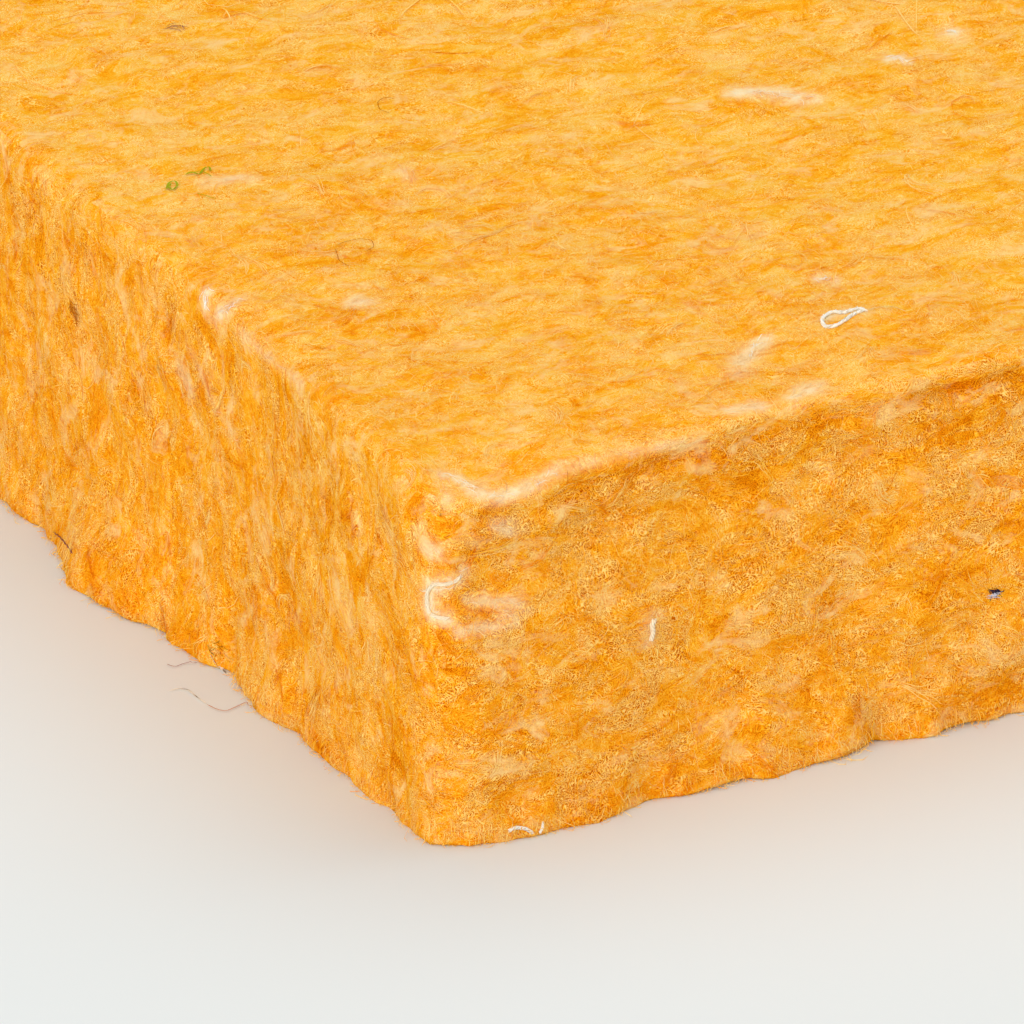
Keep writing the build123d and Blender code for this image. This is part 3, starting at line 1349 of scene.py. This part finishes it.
def hair_lines_group():
    """Fine curly lines, as of a mat of hairs: 1 on a hair and 0 between."""
    found = bpy.data.node_groups.get("Hair lines")
    if found:
        return found
    tree, start, end = new_group(
        "Hair lines",
        [
            ("Vector", "NodeSocketVector", None),
            ("Scale", "NodeSocketFloat", 700.0),
        ],
        [("Lines", "NodeSocketFloat")],
    )
    bend = noise_lumps(tree, (-1300, 0), start.outputs["Vector"], 130.0)
    sockets = (bend.outputs["Color"], (HAIR_BEND,) * 3, start.outputs["Vector"])
    bent = vector_maths(tree, (-1100, 0), "MULTIPLY_ADD", *sockets)

    # Each layer folds a noise back and forth, and a hair runs along every fold
    lines = None
    for layer, coarse in enumerate(HAIR_LAYERS):
        down = -300 * layer
        shift = (1.7 * layer, 0.9 * layer, 2.3 * layer)
        shifted = vector_maths(tree, (-900, down), "ADD", bent, shift)
        scaled = maths(tree, (-900, down - 100), "MULTIPLY", start.outputs["Scale"], coarse)
        swirl = noise_lumps(tree, (-700, down), shifted, scaled)
        folded = maths(tree, (-500, down), "PINGPONG", swirl.outputs["Fac"], HAIR_FOLD)
        line = remap(tree, (-300, down), folded, (0.0, HAIR_WIDTH), (1.0, 0.0))
        lines = maths(tree, (-100, down), "MAXIMUM", lines, line) if layer else line
    tree.links.new(lines, end.inputs["Lines"])
    return tree


def new_material(name, roughness):
    """An empty matt material, its tree and its Principled BSDF, wired to the output."""
    material = bpy.data.materials.new(name)
    material.use_nodes = True
    tree = material.node_tree
    tree.nodes.clear()
    matt = {"Roughness": roughness, "Specular IOR Level": 0.0}
    shader = add_node(tree, "ShaderNodeBsdfPrincipled", (200, 0), matt)
    add_node(tree, "ShaderNodeOutputMaterial", (500, 0), {"Surface": shader.outputs["BSDF"]})
    return material, tree, shader


def kept_values(tree, place, name):
    """The numbers or colours that a piece keeps for its vertices under this name."""
    return add_node(tree, "ShaderNodeAttribute", place, attribute_name=name)


def uneven_dye(context, tree, place, more):
    """The colour of a piece dyed unevenly, from its place, its normals and its kept values."""
    inputs = {
        "Vector": place.outputs["Object"],
        "Normal": place.outputs["Normal"],
        "Shift": kept_values(tree, (-900, -400), "tone").outputs["Fac"],
        "Undyed": kept_values(tree, (-900, -800), "undyed").outputs["Fac"],
    }
    group = uneven_dye_group(context)
    dye = add_node(tree, "ShaderNodeGroup", (-350, 200), inputs | more, node_tree=group)
    return dye.outputs["Color"]


def felt_material(context):
    """The slab's felt: uneven dye, a mat of fine curly hairs and painted shade deep in the gaps between
    them.
    """
    material, tree, shader = new_material("orange_felt", 0.9)
    place = add_node(tree, "ShaderNodeTexCoord", (-1300, 0))
    inputs = {"Vector": place.outputs["Object"]}
    group = hair_lines_group()
    hairs = add_node(tree, "ShaderNodeGroup", (-1100, -200), inputs, node_tree=group)
    # How dark the painted shade between the hairs is
    gap_shade_depth = kept_values(tree, (-900, -600), "gap_shade_depth")
    gaps = {"Hairs": hairs.outputs["Lines"], "Gap_shade_depth": gap_shade_depth.outputs["Fac"]}
    dyed = uneven_dye(context, tree, place, gaps)
    tree.links.new(dyed, shader.inputs["Base Color"])
    relief = {"Height": hairs.outputs["Lines"], "Strength": 0.4, "Distance": 0.0002}
    bump = add_node(tree, "ShaderNodeBump", (-100, -200), relief)
    tree.links.new(bump.outputs["Normal"], shader.inputs["Normal"])
    return material


def fleece_material(context):
    """Loose fibres: the felt's dye, lighter or darker from strand to strand."""
    material, tree, shader = new_material("orange_fleece", 0.8)
    place = add_node(tree, "ShaderNodeTexCoord", (-1300, 0))
    dyed = uneven_dye(context, tree, place, {})
    tree.links.new(dyed, shader.inputs["Base Color"])
    return material


def scrap_material():
    """Yarn and lint of many dyes, a little soiled here and there."""
    material, tree, shader = new_material("mixed_scraps", 0.8)
    place = add_node(tree, "ShaderNodeTexCoord", (-900, 0))
    soil = noise_lumps(tree, (-700, 0), place.outputs["Object"], 900.0, 2.0)
    soiled = remap(tree, (-500, 0), soil.outputs["Fac"], (0.35, 0.65), (0.93, 1.0))
    dye = kept_values(tree, (-900, -300), "dye")
    inputs = {0: dye.outputs["Color"], "Scale": soiled}
    tinted = add_node(tree, "ShaderNodeVectorMath", (-300, 0), inputs, operation="SCALE")
    tree.links.new(tinted.outputs[0], shader.inputs["Base Color"])
    return material


def floor_material(colour):
    """Pale matt floor."""
    material, tree, shader = new_material("pale_floor", 0.9)
    shader.inputs["Base Color"].default_value = (*colour, 1)
    return material


# Stage

# How far the floor reaches and the camera sees, in metres, and the lens's sensor in millimetres
FLOOR_REACH = 12.0
VIEW_END = 100.0
SENSOR_WIDTH = 36.0

# A nearly white dome and two soft lamps, under a sky that shows as pale as the floor
DOME_COLOUR = (1.0, 0.995, 0.985, 1)
SKY_COLOUR = (0.84, 0.815, 0.76, 1)
LAMP_COLOUR = (1.0, 0.99, 0.975)
LAMP_SPREAD = radians(60)
TOP_LAMP_FROM = (0.50, 0.26, 1.0)
FRONT_LAMP_FROM = (-0.84, -0.76, 0.45)


def view_axes(turn, height):
    """Unit vectors of the view: to the camera, to its right and up."""
    toward = Vector((sin(turn) * cos(height), -cos(turn) * cos(height), sin(height)))
    right = Vector((cos(turn), sin(turn), 0))
    return toward, right, toward.cross(right)


def view_middle(stage, corner, right, up):
    """The place in the middle of the view, with the near corner at its pixel."""
    pixel = stage.view_field / VIEW_SIZE
    middle = corner + right * (VIEW_SIZE / 2 - CORNER_PIXEL[0]) * pixel
    return middle + up * (CORNER_PIXEL[1] - VIEW_SIZE / 2) * pixel


def lay_floor(colour):
    """A wide flat floor under the batt."""
    bm = bmesh.new()
    bmesh.ops.create_grid(bm, x_segments=1, y_segments=1, size=FLOOR_REACH)
    mesh = bpy.data.meshes.new("floor")
    bm.to_mesh(mesh)
    bm.free()
    mesh.materials.append(floor_material(colour))
    floor = bpy.data.objects.new("floor", mesh)
    bpy.context.scene.collection.objects.link(floor)


def hang_dome(strength):
    """Even light from all round, under a sky that shows as pale as the floor."""
    world = bpy.data.worlds.new("pale_dome")
    bpy.context.scene.world = world
    world.use_nodes = True
    tree = world.node_tree
    tree.nodes.clear()
    ray = add_node(tree, "ShaderNodeLightPath", (-600, 200)).outputs
    seen = maths(tree, (-400, 200), "MAXIMUM", ray["Is Camera Ray"], ray["Is Glossy Ray"])
    seen = maths(tree, (-250, 200), "MAXIMUM", seen, ray["Is Transmission Ray"])
    dome = {"Color": DOME_COLOUR, "Strength": strength}
    light = add_node(tree, "ShaderNodeBackground", (-200, 0), dome)
    sky = {"Color": SKY_COLOUR, "Strength": 1.0}
    pale = add_node(tree, "ShaderNodeBackground", (-200, -150), sky)
    inputs = {0: seen, 1: light.outputs[0], 2: pale.outputs[0]}
    mixed = add_node(tree, "ShaderNodeMixShader", (0, 0), inputs)
    add_node(tree, "ShaderNodeOutputWorld", (200, 0), {"Surface": mixed.outputs[0]})


def add_lamp(name, strength, from_where):
    """A soft lamp, far off, that shines from a direction."""
    data = bpy.data.lights.new(name, "SUN")
    data.energy = strength
    data.angle = LAMP_SPREAD
    data.color = LAMP_COLOUR
    lamp = bpy.data.objects.new(name, data)
    lamp.rotation_euler = Vector(from_where).to_track_quat("Z", "Y").to_euler()
    bpy.context.scene.collection.objects.link(lamp)


def set_camera(stage):
    """A long lens that shows the near corner at its pixel."""
    toward, right, up = view_axes(stage.view_turn, stage.view_height)
    lens = bpy.data.cameras.new("view")
    lens.sensor_width = SENSOR_WIDTH
    lens.lens = SENSOR_WIDTH * stage.view_distance / stage.view_field
    lens.clip_end = VIEW_END
    camera = bpy.data.objects.new("view", lens)
    middle = view_middle(stage, Vector(NEAR_CORNER), right, up)
    camera.location = middle + toward * stage.view_distance
    camera.rotation_euler = toward.to_track_quat("Z", "Y").to_euler()
    bpy.context.scene.collection.objects.link(camera)
    bpy.context.scene.camera = camera


class BATT_OT_stage(bpy.types.Operator):
    """Set the pale floor, the soft light and the camera"""

    bl_idname = "batt.stage"
    bl_label = "Stage"

    def execute(self, context):
        settings = context.scene.batt_stage
        context.scene.view_settings.view_transform = "Standard"
        lay_floor(settings.floor_colour)
        hang_dome(settings.dome_strength)
        add_lamp("top_lamp", settings.top_lamp, TOP_LAMP_FROM)
        add_lamp("front_lamp", settings.front_lamp, FRONT_LAMP_FROM)
        set_camera(settings)
        return {"FINISHED"}


# Panel and registration


class BATT_PT_panel(bpy.types.Panel):
    """Steps and sizes of the batt"""

    bl_idname = "BATT_PT_panel"
    bl_label = "Insulation batt"
    bl_space_type = "VIEW_3D"
    bl_region_type = "UI"
    bl_category = "Batt"

    def draw(self, context):
        scene = context.scene
        for operator, settings in STEPS:
            self.layout.operator(operator)
            if settings:
                group = getattr(scene, settings)
                for key in group.__annotations__:
                    self.layout.prop(group, key)


STEPS = [
    ("batt.slab", "batt_slab"),
    ("batt.fleece", "batt_fleece"),
    ("batt.locks", None),
    ("batt.scraps", None),
    ("batt.stage", "batt_stage"),
]
CLASSES = [
    SlabSettings,
    FleeceSettings,
    StageSettings,
    BATT_OT_slab,
    BATT_OT_fleece,
    BATT_OT_locks,
    BATT_OT_scraps,
    BATT_OT_stage,
    BATT_PT_panel,
]


def register():
    for entry in CLASSES:
        bpy.utils.register_class(entry)
    bpy.types.Scene.batt_slab = PointerProperty(type=SlabSettings)
    bpy.types.Scene.batt_fleece = PointerProperty(type=FleeceSettings)
    bpy.types.Scene.batt_stage = PointerProperty(type=StageSettings)


def unregister():
    del bpy.types.Scene.batt_slab
    del bpy.types.Scene.batt_fleece
    del bpy.types.Scene.batt_stage
    for entry in reversed(CLASSES):
        bpy.utils.unregister_class(entry)


def main():
    register()
    bpy.ops.batt.slab()
    bpy.ops.batt.fleece()
    bpy.ops.batt.locks()
    bpy.ops.batt.scraps()
    bpy.ops.batt.stage()


if __name__ == "__main__":
    main()
